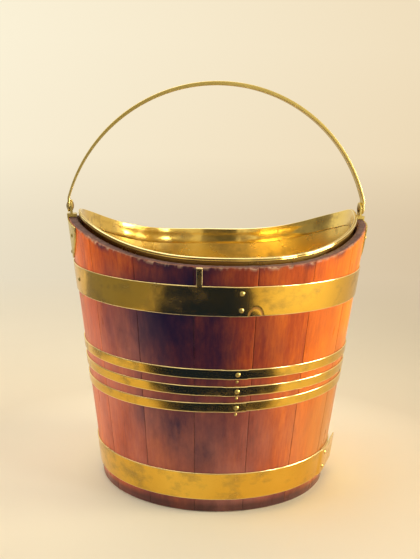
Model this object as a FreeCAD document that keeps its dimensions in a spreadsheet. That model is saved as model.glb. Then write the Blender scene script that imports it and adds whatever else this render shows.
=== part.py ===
"""A coopered peat bucket: tapered staves, brass hoops, a lift-out liner and a swinging bail.

Millimetres, +Z up, origin on the floor under the middle of the bucket.
The bail's pivots lie along X and the front faces -Y.
Angles round the bucket are in degrees from the front, towards +X.
"""
import FreeCAD, Part
import math
import os
import re

os.makedirs("parts", exist_ok=True)
doc = FreeCAD.newDocument("peat_bucket")

# Driving dimensions
SIZES = {
    # Wooden body
    "base_radius": 135.0,
    "wall_angle": 7.33,
    "wood_wall": 10.0,
    "stave_count": 16,
    "first_seam": -14.2,
    "seam_angle": 0.03,
    "rim_crest": 311.5,
    "rim_dip_front": 29.5,
    "rim_dip_back": 41.0,
    "rim_power": 3.2,
    "board_bottom": 14.0,
    "board_thickness": 12.0,
    "croze_depth": 4.0,
    "board_fit": 0.1,
    # Liner
    "liner_gap": 3.4,
    "liner_sheet": 1.2,
    "liner_stand": 7.0,
    "liner_peak_left": 1.3,
    "liner_peak_right": 4.0,
    "liner_peak_width": 10.0,
    "hem_height": 4.5,
    "hem_thickness": 1.4,
    "collar_height": 20.0,
    "collar_thickness": 0.8,
    "solder_gap": 0.05,
    # Hoops
    "hoop_thickness": 1.6,
    "hoop_fit": 0.05,
    "wide_hoop_height": 32.5,
    "narrow_hoop_height": 11.3,
    "ear_hoop_gap": 1.5,
    "upper_hoop_share": 0.5117,
    "middle_hoop_drop": 19.2,
    "lower_hoop_drop": 37.8,
    "bottom_hoop_lift": 15.8,
    "middle_hoop_tilt": -0.35,
    "lower_hoop_tilt": -1.4,
    "front_lap_angle": 2.6,
    "side_lap_angle": 62.0,
    "lap_width": 8.0,
    "loose_end_length": 40.0,
    "tongue_angle": -12.2,
    "tongue_width": 6.5,
    "tongue_margin": 1.5,
    # Rivets and nails
    "rivet_head_radius": 2.6,
    "rivet_head_height": 1.2,
    "rivet_shank_radius": 1.3,
    "rivet_shank_length": 6.0,
    "rivet_inset": 7.2,
    "side_rivet_angle": -73.8,
    "nail_head_radius": 1.6,
    "nail_head_height": 0.7,
    "nail_shank_radius": 0.8,
    "nail_shank_length": 7.0,
    "nail_drop": 3.2,
    "shank_fit": 0.03,
    # Ears and pivots
    "ear_radius": 61.0,
    "ear_thickness": 1.5,
    "ear_fit": 0.05,
    "ear_margin": 1.2,
    "neck_length": 24.0,
    "saddle_height": 3.6,
    "saddle_inset": 0.8,
    "eye_radius": 7.0,
    "eye_thickness": 2.4,
    "eye_inset": 1.9,
    "ear_rivet_wide_angle": 13.0,
    "ear_rivet_wide_share": 0.49,
    "ear_rivet_low_angle": 5.0,
    "ear_rivet_low_share": 0.85,
    "pivot_height": 12.5,
    "pivot_gap": 0.4,
    "pin_radius": 3.0,
    "pin_fit": 0.05,
    "inner_head_radius": 5.5,
    "inner_head_height": 1.8,
    "outer_head_radius": 5.0,
    "outer_head_height": 1.6,
    "head_gap": 0.15,
    # Bail
    "bail_width": 14.0,
    "bail_thickness": 2.6,
    "bail_crown": 4.8,
    "bail_rise": 146.0,
    "bail_pad_length": 10.0,
    # Room that the cutting solids leave round the bucket
    "tool_room": 60.0,
    "rim_tool_room": 12.0,
}
RIM_POINTS = 48

sheet = doc.addObject("Spreadsheet::Sheet", "Sizes")
for row, (alias, number) in enumerate(SIZES.items(), start=1):
    sheet.set("A%d" % row, alias)
    sheet.set("B%d" % row, str(number))
    sheet.setAlias("B%d" % row, alias)
doc.recompute()

nodes = []


def bind(text):
    """Expression text in which each size's name points at its cell."""
    return re.sub(r"[a-z_]+", lambda word: "Sizes." + word[0] if word[0] in SIZES else word[0], text)


def add(kind, name, **sizes):
    """A primitive whose properties follow the expressions given."""
    thing = doc.addObject(kind, name)
    for prop, text in sizes.items():
        thing.setExpression(prop, bind(text))
    return thing


def cut(name, base, tool):
    thing = doc.addObject("Part::Cut", name)
    thing.Base = base
    thing.Tool = tool
    return thing


def common(name, base, tool):
    thing = doc.addObject("Part::Common", name)
    thing.Base = base
    thing.Tool = tool
    return thing


def fuse(name, shapes):
    thing = doc.addObject("Part::MultiFuse", name)
    thing.Shapes = shapes
    return thing


def group(name, shapes):
    thing = doc.addObject("Part::Compound", name)
    thing.Links = shapes
    return thing


def node(thing, label):
    """Marks a finished sub-part; its label names its file."""
    thing.Label = label
    nodes.append(thing)


# Shared geometry of the tapered wall
CREST = "rim_crest"
WALL_TOP = "(rim_crest + liner_stand + liner_peak_right + saddle_height)"
BOARD_TOP = "(board_bottom + board_thickness)"
PIVOT_Z = "(rim_crest + pivot_height)"

# Heights of the hoops' lower edges; the top hoop lies just under the ears
HOOP_BOTTOM = {
    "top": "(%s - ear_radius - ear_hoop_gap - wide_hoop_height)" % PIVOT_Z,
    "upper": "(rim_crest * upper_hoop_share)",
    "middle": "(rim_crest * upper_hoop_share - middle_hoop_drop)",
    "lower": "(rim_crest * upper_hoop_share - lower_hoop_drop)",
    "bottom": "bottom_hoop_lift",
}


def wall_radius(height, offset="0"):
    """Radius of the bucket's outer face at a height, moved outwards by an offset."""
    return "(base_radius + tan(wall_angle) * (%s) + (%s))" % (height, offset)


REACH = "(%s + tool_room)" % wall_radius(CREST)


def frustum(name, bottom, top, offset):
    """Solid of the tapered outer face between two heights."""
    return add("Part::Cone", name, Radius1=wall_radius(bottom, offset), Radius2=wall_radius(top, offset),
               Height="%s - %s" % (top, bottom),
               Placement="placement(vector(0; 0; %s); rotation(0; 0; 0))" % bottom)


def wall_shell(name, bottom, top, inner, outer):
    """Tapered tube between two offsets from the outer face."""
    outside = frustum(name + "_outside", bottom, top, outer)
    return cut(name, outside, frustum(name + "_inside", bottom, top, inner))


def sector(name, start, width):
    """Wedge about the axis that starts at an angle from the front."""
    return add("Part::Cylinder", name, Radius=REACH, Height=WALL_TOP + " + tool_room", Angle=width,
               Placement="placement(vector(0; 0; 0 - tool_room / 2); rotation(%s - 90; 0; 0))" % start)


def radial_bar(name, angle, width, bottom, top):
    """Upright bar from the axis outwards at an angle from the front."""
    place = "vector((%s) / 2 * cos(%s); (%s) / 2 * sin(%s); %s)" % (width, angle, width, angle, bottom)
    return add("Part::Box", name, Length=REACH, Width=width, Height="%s - %s" % (top, bottom),
               Placement="placement(%s; rotation(%s - 90; 0; 0))" % (place, angle))


def box(name, low, high):
    """Box between two corners, each a tuple of three expressions."""
    spans = ["(%s) - (%s)" % (high[axis], low[axis]) for axis in range(3)]
    return add("Part::Box", name, Length=spans[0], Width=spans[1], Height=spans[2],
               Placement="placement(vector(%s; %s; %s); rotation(0; 0; 0))" % low)


def rim_height(angle, lift, peaked):
    """Height of the saddle-shaped rim, high over the ears and low at the front and back."""
    dip = sheet.rim_dip_front if math.cos(angle) > 0 else sheet.rim_dip_back
    height = sheet.rim_crest + lift - dip * (1 - abs(math.sin(angle)) ** sheet.rim_power)
    if peaked:
        peak = sheet.liner_peak_right if math.sin(angle) > 0 else sheet.liner_peak_left
        away = (math.degrees(angle) % 180 - 90) / sheet.liner_peak_width
        height += peak * math.exp(-away ** 2)
    return height


def rim_curve(radius, lift, peaked):
    """Closed curve that follows the rim's rise and fall at a radius."""
    points = []
    for step in range(RIM_POINTS):
        angle = 2 * math.pi * step / RIM_POINTS
        across = radius * math.sin(angle)
        height = rim_height(angle, lift, peaked)
        points.append(FreeCAD.Vector(across, -radius * math.cos(angle), height))
    knots = [step / RIM_POINTS for step in range(RIM_POINTS + 1)]
    curve = Part.BSplineCurve()
    curve.interpolate(Points=points, PeriodicFlag=True, Parameters=knots)
    return curve.toShape()


def above_rim(name, lift, peaked=False):
    """Everything over the saddle surface a lift above the wooden rim; the liner's has peaks at the ears."""
    flare = math.tan(math.radians(sheet.wall_angle)) * sheet.rim_crest
    inner_curve = rim_curve(sheet.base_radius, lift, peaked)
    outer_curve = rim_curve(sheet.base_radius + flare + sheet.rim_tool_room, lift, peaked)
    surface = Part.makeRuledSurface(inner_curve, outer_curve)
    rise = sheet.rim_dip_front + sheet.rim_dip_back + sheet.liner_stand + sheet.tool_room
    tool = doc.addObject("Part::Feature", name)
    tool.Shape = surface.extrude(FreeCAD.Vector(0, 0, rise))
    tool.Placement = FreeCAD.Placement()
    return tool


def rim_band(name, shell, lower, upper):
    """The part of a tapered tube between two saddle surfaces."""
    return cut(name, common(name + "_upper_part", shell, lower), upper)


# Rivets and nails
def wall_place(angle, height, offset, depth):
    """Placement square to the wall, its own Z outwards, sunk by a depth under an offset face."""
    reach = "(%s - (%s) * cos(wall_angle))" % (wall_radius(height, offset), depth)
    spot = "vector(%s * sin(%s); 0 - %s * cos(%s); %s + (%s) * sin(wall_angle))" % (
        reach, angle, reach, angle, height, depth)
    return "placement(%s; rotation(%s - 90; 90 + wall_angle; 0))" % (spot, angle)


def ball_radius(radius, height):
    """Radius of the ball whose cap has a rim radius and a height."""
    return "(((%s) ^ 2 + (%s) ^ 2) / (2 * (%s)))" % (radius, height, height)


def dome(name, radius, height, place):
    """Domed head; place gives the placement for a depth under its flat face."""
    ball = ball_radius(radius, height)
    return add("Part::Sphere", name, Radius=ball, Angle1="asin(1 - (%s) / %s)" % (height, ball),
               Placement=place("%s - %s" % (ball, height)))


holes = []


def fastener(kind, name, angle, height, offset):
    """Domed rivet or nail in the wall, with the hole that takes it."""
    length = kind + "_shank_length"

    def place(depth):
        return wall_place(angle, height, offset, depth)

    head = dome(name + "_head", kind + "_head_radius", kind + "_head_height", place)
    shank = add("Part::Cylinder", name + "_shank", Radius=kind + "_shank_radius",
                Height="%s + %s_head_height / 2" % (length, kind), Placement=place(length))
    holes.append(add("Part::Cylinder", name + "_hole", Radius=kind + "_shank_radius + shank_fit",
                     Height=length + " + rivet_head_height", Placement=place(length)))
    return fuse(name, [head, shank])


ON_WOOD = "0"
ON_HOOP = "hoop_fit + hoop_thickness"
ON_LAP = "hoop_fit + 2 * hoop_thickness"
ON_EAR = "ear_fit + ear_thickness"
NARROW_HOOPS = ("upper", "middle", "lower")
SIDES = {"left": -1, "right": 1}


def lap_pair(which, angle):
    """The two rivets of a wide hoop's lap."""
    low = "(%s + rivet_inset)" % HOOP_BOTTOM[which]
    high = "(%s + wide_hoop_height - rivet_inset)" % HOOP_BOTTOM[which]
    return [fastener("rivet", which + "_rivet_low", angle, low, ON_LAP),
            fastener("rivet", which + "_rivet_high", angle, high, ON_LAP)]


top_middle = "(%s + wide_hoop_height / 2)" % HOOP_BOTTOM["top"]
top_rivets = lap_pair("top", "front_lap_angle")
top_rivets.append(fastener("rivet", "top_rivet_side", "side_rivet_angle", top_middle, ON_HOOP))
node(group("top_hoop_rivet_group", top_rivets), "top_hoop_rivets")

narrow_rivets = []
hoop_nails = []
for which in NARROW_HOOPS:
    middle = "(%s + narrow_hoop_height / 2)" % HOOP_BOTTOM[which]
    narrow_rivets.append(fastener("rivet", which + "_rivet", "front_lap_angle", middle, ON_LAP))
    under = "(%s - nail_drop)" % HOOP_BOTTOM[which]
    hoop_nails.append(fastener("nail", which + "_nail", "front_lap_angle", under, ON_WOOD))
under_top = "(%s - nail_drop)" % HOOP_BOTTOM["top"]
hoop_nails.append(fastener("nail", "top_nail", "side_rivet_angle", under_top, ON_WOOD))
node(group("narrow_hoop_rivet_group", narrow_rivets), "narrow_hoop_rivets")
node(group("bottom_hoop_rivet_group", lap_pair("bottom", "side_lap_angle")), "bottom_hoop_rivets")
node(group("hoop_nail_group", hoop_nails), "hoop_nails")

for side, sign in SIDES.items():
    ear_rivets = []
    for spot, way in (("wide", -1), ("wide", 1), ("low", -1), ("low", 1)):
        angle = "(%d * 90 + %d * ear_rivet_%s_angle)" % (sign, way, spot)
        height = "(%s - ear_radius * ear_rivet_%s_share)" % (PIVOT_Z, spot)
        name = "%s_ear_rivet_%s_%s" % (side, spot, "back" if way * sign > 0 else "front")
        ear_rivets.append(fastener("rivet", name, angle, height, ON_EAR))
    node(group(side + "_ear_rivet_group", ear_rivets), "ear_rivets_" + side)

fastener_holes = group("fastener_holes", holes)

# Staves and bottom board
wood_top = above_rim("above_wood", 0)
barrel = wall_shell("barrel", "0", WALL_TOP, "0 - wood_wall", "0")
barrel_blank = cut("barrel_blank", barrel, wood_top)
BOARD_RADIUS = wall_radius("board_bottom", "croze_depth - wood_wall")
croze = add("Part::Cylinder", "croze", Radius=BOARD_RADIUS + " + board_fit",
            Height="board_thickness + board_fit",
            Placement="placement(vector(0; 0; board_bottom - board_fit / 2); rotation(0; 0; 0))")
barrel_bored = cut("barrel_bored", cut("barrel_crozed", barrel_blank, croze), fastener_holes)
for index in range(int(sheet.stave_count)):
    start = "(first_seam + seam_angle / 2 + 360 / stave_count * %d)" % index
    number = "%02d" % (index + 1)
    stave_slice = sector("slice_" + number, start, "360 / stave_count - seam_angle")
    node(common("stave_solid_" + number, barrel_bored, stave_slice), "stave_" + number)

node(add("Part::Cylinder", "board", Radius=BOARD_RADIUS, Height="board_thickness",
         Placement="placement(vector(0; 0; board_bottom); rotation(0; 0; 0))"), "bottom_board")

# Hoops, each a strip closed by a riveted lap
hoop_shell = wall_shell("hoop_shell", "0", WALL_TOP, "hoop_fit", ON_HOOP)
lap_shell = wall_shell("lap_shell", "0", WALL_TOP, ON_HOOP, ON_LAP)


def hoop_slab(name, bottom, height, tilt):
    """Flat slab across the bucket, tilted about Y, that trims a hoop's two edges."""
    middle = "(%s + %s / 2)" % (bottom, height)
    spot = "vector(0 - %s / 2 * sin(%s); 0; %s - %s / 2 * cos(%s))" % (height, tilt, middle, height, tilt)
    return add("Part::Cylinder", name, Radius=REACH, Height=height,
               Placement="placement(%s; rotation(0; %s; 0))" % (spot, tilt))


def hoop(name, bottom, height, tilt, lap_angle, extras):
    """Hoop with its riveted lap and any extra solids, bored for its rivets."""
    slab = hoop_slab(name + "_slab", bottom, height, tilt)
    lap_sector = sector(name + "_lap_sector", lap_angle + " - lap_width / 2", "lap_width")
    lap = common(name + "_lap_band", lap_shell, lap_sector)
    pieces = [common(name + "_band", hoop_shell, slab), common(name + "_lap", lap, slab)]
    pieces += [common(name + "_extra", extra, slab) if trimmed else extra for extra, trimmed in extras]
    node(cut(name + "_bored", fuse(name + "_whole", pieces), fastener_holes), name)


tongue_bar = radial_bar("tongue_bar", "tongue_angle", "tongue_width", top_middle,
                        "(rim_crest - rim_dip_front - tongue_margin)")
tongue = common("tongue", hoop_shell, tongue_bar)
hoop("top_hoop", HOOP_BOTTOM["top"], "wide_hoop_height", "0", "front_lap_angle", [(tongue, False)])
for which, tilt in zip(NARROW_HOOPS, ("0", "middle_hoop_tilt", "lower_hoop_tilt")):
    hoop("narrow_hoop_" + which, HOOP_BOTTOM[which], "narrow_hoop_height", tilt, "front_lap_angle", [])


def loose_end(name, angle, length):
    """Straight end of a strip that has sprung off the wall along its tangent at an angle."""
    foot = wall_radius("0", ON_LAP)
    spot = "vector(%s * sin(%s); 0 - %s * cos(%s); 0)" % (foot, angle, foot, angle)
    return add("Part::Box", name, Length=length, Width="hoop_thickness * cos(wall_angle)",
               Height=WALL_TOP, Placement="placement(%s; rotation(%s; 0; wall_angle))" % (spot, angle))


sprung_end = loose_end("sprung_end", "(side_lap_angle + lap_width / 2)", "loose_end_length")
hoop("bottom_hoop", HOOP_BOTTOM["bottom"], "wide_hoop_height", "0", "side_lap_angle", [(sprung_end, True)])

# Brass liner, standing on the bottom board
LINER_OUT = "0 - wood_wall - liner_gap"
LINER_IN = LINER_OUT + " - liner_sheet"
liner_top = above_rim("above_liner", sheet.liner_stand, True)
hem_low = above_rim("above_hem_foot", sheet.liner_stand - sheet.hem_height, True)
collar_low = above_rim("above_collar_foot", sheet.liner_stand - sheet.collar_height, True)
liner_shell = wall_shell("liner_shell", BOARD_TOP, WALL_TOP, LINER_IN, LINER_OUT)
node(cut("liner_sheet_wall", liner_shell, liner_top), "liner_wall")
node(frustum("liner_disc", BOARD_TOP, "(%s + liner_sheet)" % BOARD_TOP, LINER_IN + " - solder_gap"),
     "liner_base")
hem_shell = wall_shell("hem_shell", BOARD_TOP, WALL_TOP, LINER_OUT + " + solder_gap",
                       LINER_OUT + " + solder_gap + hem_thickness")
node(rim_band("liner_hem", hem_shell, hem_low, liner_top), "liner_rim")
collar_shell = wall_shell("collar_shell", BOARD_TOP, WALL_TOP,
                          LINER_IN + " - solder_gap - collar_thickness", LINER_IN + " - solder_gap")
node(rim_band("liner_collar_band", collar_shell, collar_low, liner_top), "liner_collar")

# Ears, pivots and bail
EYE_OUT = wall_radius(CREST, "0 - eye_inset")
EYE_IN = "(%s - eye_thickness)" % EYE_OUT
PAD_IN = "(%s + pivot_gap)" % EYE_OUT
PAD_OUT = "(%s + bail_thickness)" % PAD_IN
PAD_TOP = "(%s + bail_pad_length)" % PIVOT_Z
ARCH_RISE = "(bail_rise - bail_pad_length)"
CROWN_RISE = "(%s - bail_crown)" % ARCH_RISE
ear_shell = wall_shell("ear_shell", "0", WALL_TOP, "ear_fit", ON_EAR)
ear_top = above_rim("above_ear", -sheet.ear_margin)


def sideways(sign, out):
    """Placement on the pivot axis, its own Z pointing out of the bucket's side, at a distance out."""
    return "placement(vector(%d * (%s); 0; %s); rotation(0; %d * 90; 0))" % (sign, out, PIVOT_Z, sign)


def side_box(name, sign, near, far, half_width, bottom, top):
    """Box on one side of the bucket between two distances from its middle."""
    ends = (near, far) if sign > 0 else ("0 - " + far, "0 - " + near)
    return box(name, (ends[0], "0 - " + half_width, bottom), (ends[1], half_width, top))


def side_disc(name, sign, radius, near, far):
    """Round plate about the pivot axis between two distances from the middle."""
    return add("Part::Cylinder", name, Radius=radius, Height="%s - (%s)" % (far, near),
               Placement=sideways(sign, near))


def ear(side, sign):
    """Half-moon plate on the staves, a saddle over the rim and an upright eye, in one piece."""
    moon = side_disc(side + "_moon", sign, "ear_radius", "0", REACH)
    plate = cut(side + "_plate", common(side + "_plate_blank", ear_shell, moon), ear_top)
    neck_box = side_box(side + "_neck_box", sign, "0", REACH, "eye_radius",
                        "(rim_crest - neck_length)", "(rim_crest + saddle_height)")
    neck = common(side + "_neck", ear_shell, neck_box)
    foot = "(rim_crest + ear_fit)"
    saddle = side_box(side + "_saddle", sign, wall_radius(CREST, "saddle_inset - wood_wall"),
                      wall_radius(CREST, ON_EAR), "eye_radius", foot, "(rim_crest + saddle_height)")
    post = side_box(side + "_eye_post", sign, EYE_IN, EYE_OUT, "eye_radius", foot, PIVOT_Z)
    disc = side_disc(side + "_eye_disc", sign, "eye_radius", EYE_IN, EYE_OUT)
    whole = fuse(side + "_ear_whole", [plate, neck, saddle, post, disc])
    bore = side_disc(side + "_eye_bore", sign, "pin_radius + shank_fit", EYE_IN + " - eye_thickness", PAD_IN)
    node(cut(side + "_ear_bored", cut(side + "_ear_eyed", whole, bore), fastener_holes), "ear_" + side)


def pivot(side, sign):
    """Riveted pivot pin with a domed head inside the eye and a flatter one outside the bail."""
    outer_face = "(%s + head_gap)" % PAD_OUT
    shank = side_disc(side + "_pin_shank", sign, "pin_radius", EYE_IN, outer_face)

    def outwards(depth):
        return sideways(sign, "%s - (%s)" % (outer_face, depth))

    def inwards(depth):
        return "placement(vector(%d * (%s + (%s)); 0; %s); rotation(0; %d * 90; 0))" % (
            sign, EYE_IN, depth, PIVOT_Z, -sign)

    outer_head = dome(side + "_outer_head", "outer_head_radius", "outer_head_height", outwards)
    inner_head = dome(side + "_inner_head", "inner_head_radius", "inner_head_height", inwards)
    node(fuse(side + "_pin", [shank, outer_head, inner_head]), "pivot_" + side)


for side, sign in SIDES.items():
    ear(side, sign)
    pivot(side, sign)


def arch_disc(name, rise, reach):
    """Disc as thick as the bail is wide, over both pads at a reach and rising above their tops."""
    radius = "((%s ^ 2 + %s ^ 2) / (2 * %s))" % (rise, reach, rise)
    centre = "vector(0; 0 - bail_width / 2; %s + %s - %s)" % (PAD_TOP, rise, radius)
    return add("Part::Cylinder", name, Radius=radius, Height="bail_width",
               Placement="placement(%s; rotation(0; 0; 0 - 90))" % centre)


arch_ring = cut("arch_ring", arch_disc("arch_outside", ARCH_RISE, PAD_OUT),
                arch_disc("arch_inside", CROWN_RISE, PAD_IN))
arch_room = box("arch_room", ("0 - " + REACH, "0 - bail_width", PAD_TOP),
                (REACH, "bail_width", "(%s + bail_rise + tool_room)" % PIVOT_Z))
bail_pieces = [common("arch", arch_ring, arch_room)]
bail_bores = []
for side, sign in SIDES.items():
    half_width = "(bail_width / 2)"
    bail_pieces.append(side_box(side + "_pad", sign, PAD_IN, PAD_OUT, half_width, PIVOT_Z, PAD_TOP))
    bail_pieces.append(side_disc(side + "_foot", sign, half_width, PAD_IN, PAD_OUT))
    past_pad = PAD_OUT + " + pivot_gap"
    bail_bores.append(side_disc(side + "_bail_bore", sign, "pin_radius + pin_fit", EYE_OUT, past_pad))
node(cut("bail_bored", fuse("bail_strip", bail_pieces), group("bail_bores", bail_bores)), "bail")

# Check every object, then write each sub-part
doc.recompute()
for thing in doc.Objects:
    if "Invalid" in thing.State or "Error" in thing.State:
        raise RuntimeError("%s did not build: %s" % (thing.Label, thing.State))
for thing in nodes:
    if thing.Shape.isNull() or not thing.Shape.isValid():
        raise RuntimeError("%s has no sound shape" % thing.Label)
for thing in nodes:
    thing.Shape.exportStep("parts/%s.step" % thing.Label)
    print("%-20s %d solids %12.1f mm3" % (thing.Label, len(thing.Shape.Solids), thing.Shape.Volume))
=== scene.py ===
"""Looks of a coopered peat bucket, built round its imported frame.

Metres, in the frame's axes: +Z up, the front faces -Y and the bail's pivots lie along X.
Angles round the bucket are in degrees from the front towards +X.
"""
import math

import bmesh
import bpy
from mathutils import Matrix, Vector, noise


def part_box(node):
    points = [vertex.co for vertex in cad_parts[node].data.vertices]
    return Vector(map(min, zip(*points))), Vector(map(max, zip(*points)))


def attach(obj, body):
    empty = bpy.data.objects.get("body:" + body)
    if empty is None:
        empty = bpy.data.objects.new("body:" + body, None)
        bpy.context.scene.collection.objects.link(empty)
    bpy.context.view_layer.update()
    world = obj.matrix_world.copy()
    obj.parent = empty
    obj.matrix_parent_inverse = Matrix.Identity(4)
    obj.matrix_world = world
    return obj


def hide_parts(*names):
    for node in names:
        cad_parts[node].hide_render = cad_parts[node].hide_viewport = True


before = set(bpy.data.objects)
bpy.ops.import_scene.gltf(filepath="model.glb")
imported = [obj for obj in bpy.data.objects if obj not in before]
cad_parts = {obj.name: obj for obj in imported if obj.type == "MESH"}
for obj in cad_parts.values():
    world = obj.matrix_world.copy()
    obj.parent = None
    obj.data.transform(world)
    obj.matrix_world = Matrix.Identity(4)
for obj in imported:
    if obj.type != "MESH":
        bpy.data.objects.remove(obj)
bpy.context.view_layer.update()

MM = 0.001

# Tapered wooden body
BASE_RADIUS = 135 * MM
TAPER = math.tan(math.radians(7.33))
WOOD_WALL = 10 * MM
RIM_CREST = 311.5 * MM
RIM_DIP_FRONT = 29.5 * MM
RIM_DIP_BACK = 41 * MM
RIM_POWER = 3.2
STAVE_COUNT = 16
FIRST_SEAM = -14.2
SEAM_ANGLE = 0.03
SEAM_WIDTH = 0.55 * MM
SEAM_DEPTH = 0.35 * MM
FOOT_ROUND = 1.6 * MM
BOARD_FIT = 0.1 * MM
BOARD_SOFT = 0.6 * MM
BOARD_LOW, BOARD_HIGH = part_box("bottom_board")

# Hoops; the tilts are in degrees, upwards to the right
WIDE_HOOP = 32.5 * MM
NARROW_HOOP = 11.3 * MM
NARROW_TILTS = (("upper", 0), ("middle", 0.35), ("lower", 1.4))
HOOP_THICKNESS = 1.6 * MM
HOOP_ROUND = 1.0 * MM
HOOP_FIT = 0.05 * MM
HOOP_DENT = 0.16 * MM
HALF_LAP = 4.0
LAP_RAMP = 3.0
FRONT_LAP = 2.6
SIDE_LAP = 62.0
TONGUE_ANGLE = -12.2
TONGUE_WIDTH = 6.5 * MM
LOOSE_END = 40 * MM
CRACK_ANGLE = 7.9
CRACK_RADIUS = 7.5 * MM
CRACK_WIDTH = 0.9 * MM
CRACK_FLATNESS = 0.8
CRACK_DEPTH = 0.14
TOP_HOOP_LOW, TOP_HOOP_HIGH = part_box("top_hoop")
TOP_HOOP_TOP = TOP_HOOP_LOW.z + WIDE_HOOP

# Liner
LINER_GAP = 3.4 * MM
LINER_SHEET = 1.2 * MM
LINER_STAND = 7 * MM
PEAK_LEFT = 1.3 * MM
PEAK_RIGHT = 4 * MM
PEAK_WIDTH = 10.0
HEM_HEIGHT = 4.5 * MM
HEM_THICKNESS = 1.4 * MM
HEM_ROUND = 1.1 * MM
HEM_GROOVE = 0.35 * MM
COLLAR_HEIGHT = 20 * MM
COLLAR_THICKNESS = 0.8 * MM
COLLAR_ROUND = 0.7 * MM
COLLAR_GROOVE = 0.2 * MM
SOLDER_GAP = 0.05 * MM
LINER_OUT = -WOOD_WALL - LINER_GAP
LINER_IN = LINER_OUT - LINER_SHEET
LINER_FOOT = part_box("liner_wall")[0].z

# Bail
BAIL_WIDTH = 14 * MM
BAIL_THICKNESS = 2.6 * MM
BAIL_CROWN = 4.8 * MM
BAIL_ROUND = 0.6 * MM
BAIL_PAD = 10 * MM
PIN_RADIUS = 3 * MM
PIN_FIT = 0.05 * MM
OUTER_HEAD = 1.6 * MM
HEAD_GAP = 0.15 * MM
EAR_SOFT = 0.35 * MM
BAIL_LOW, BAIL_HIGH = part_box("bail")
PIVOT_Z = BAIL_LOW.z + BAIL_WIDTH / 2
PAD_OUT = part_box("pivot_right")[1].x - OUTER_HEAD - HEAD_GAP


# Places on the bucket
def spot(radius, angle, height):
    """Point at a radius, an angle and a height."""
    turn = math.radians(angle)
    return Vector((radius * math.sin(turn), -radius * math.cos(turn), height))


def wall(height):
    """Radius of the wood's outer face."""
    return BASE_RADIUS + TAPER * height


def rim(angle):
    """Height of the saddle-shaped rim of the wood."""
    turn = math.radians(angle)
    dip = RIM_DIP_FRONT if math.cos(turn) > 0 else RIM_DIP_BACK
    return RIM_CREST - dip * (1 - abs(math.sin(turn)) ** RIM_POWER)


def liner_rim(angle):
    """Height of the liner's rim, whose two ends stand up a little."""
    peak = PEAK_RIGHT if math.sin(math.radians(angle)) > 0 else PEAK_LEFT
    return rim(angle) + LINER_STAND + peak * math.exp(-((angle % 180 - 90) / PEAK_WIDTH) ** 2)


def lerp(first, last, share):
    """Value a share of the way from the first to the last."""
    return first + (last - first) * share


def smooth(share):
    """Share from 0 to 1, eased at both ends."""
    share = min(1, max(0, share))
    return share * share * (3 - 2 * share)


def away(angle, middle):
    """Way round from a middle to an angle, from -180 to 180."""
    return (angle - middle + 180) % 360 - 180


def near(angle, middle, width):
    """Bell of height 1 about an angle."""
    return math.exp(-(away(angle, middle) / width) ** 2)


def round_noise(angle, detail, seed):
    """Smooth noise that closes on itself round the bucket."""
    turn = math.radians(angle)
    return noise.noise(Vector((detail * math.sin(turn), detail * math.cos(turn), seed)))


def half_noise(*place):
    """Smooth noise about a half."""
    return 0.5 + 0.5 * noise.noise(Vector(place))


# Meshes; the marks are kept at the vertices for the materials
MARKS = ("edge", "worn", "seam", "tone", "stain")
SHARP_ANGLE = math.radians(42)

# Strip outlines: marks of the edges, turns round the outer edges, and heights in roundings of the edge
EDGE_FULL = 1
EDGE_CORNER = 0.6
EDGE_BACK = 0.3
EDGE_TURNS = (15, 40, 65, 90)
INNER_CORNER = 0.3
FACE_LOW = 1.2
FACE_TOP = 1.5
RISE_SHARES = (0.02, 0.4, 0.8, 0.97)
RISE_STEP = 0.1


def new_object(bm, name):
    """Smooth-shaded object of a mesh, sharp at its real edges."""
    mesh = bpy.data.meshes.new(name)
    bm.to_mesh(mesh)
    bm.free()
    mesh.shade_smooth()
    mesh.set_sharp_from_angle(angle=SHARP_ANGLE)
    thing = bpy.data.objects.new(name, mesh)
    bpy.context.scene.collection.objects.link(thing)
    return thing


def loft(name, rings, wrap=False, second=()):
    """Closed skin over a row of outlines of (point, marks); outline steps in second take material 1."""
    bm = bmesh.new()
    layers = {mark: bm.verts.layers.float.new(mark) for mark in MARKS}
    rows = []
    for ring in rings:
        row = []
        for point, marks in ring:
            vert = bm.verts.new(point)
            for mark, value in marks.items():
                vert[layers[mark]] = value
            row.append(vert)
        rows.append(row)
    for index in range(len(rows) if wrap else len(rows) - 1):
        here = rows[index]
        there = rows[(index + 1) % len(rows)]
        for step in range(len(here)):
            after = (step + 1) % len(here)
            face = bm.faces.new((here[step], here[after], there[after], there[step]))
            face.material_index = 1 if step in second else 0
    if not wrap:
        bm.faces.new(rows[0])
        bm.faces.new(rows[-1])
    bmesh.ops.recalc_face_normals(bm, faces=bm.faces)
    return new_object(bm, name)


def dress(thing, body, slot, materials, *nodes):
    """Gives a piece its materials and its body, and hides the nodes that it replaces; the slot is not used.
    """
    for material in materials:
        thing.data.materials.append(material)
    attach(thing, body)
    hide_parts(*nodes)


def strip_outline(height, thickness, rounding, steps):
    """Outline of a flat strip with rounded outer edges, as (out, up, edge, share of any rise of its top)."""
    corner = rounding * INNER_CORNER
    outline = [(0, height - corner, EDGE_BACK, 1), (0, height / 2, 0, 0)]
    outline += [(0, corner, EDGE_BACK, 0), (corner, 0, EDGE_CORNER, 0)]

    def bend(turn, centre, share):
        angle = math.radians(turn)
        out = thickness - rounding + rounding * math.cos(angle)
        outline.append((out, centre + rounding * math.sin(angle), EDGE_FULL, share))

    for turn in reversed(EDGE_TURNS):
        bend(-turn, rounding, 0)
    top = height - rounding * FACE_TOP
    for step in range(steps + 1):
        outline.append((thickness, lerp(rounding * FACE_LOW, top, step / steps), 0, 0))
    for step, share in enumerate(RISE_SHARES, start=1):
        outline.append((thickness, top + RISE_STEP * rounding * step, 0, share))
    for turn in EDGE_TURNS:
        bend(turn, height - rounding, 1)
    outline.append((corner, height, EDGE_CORNER, 1))
    return outline


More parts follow.
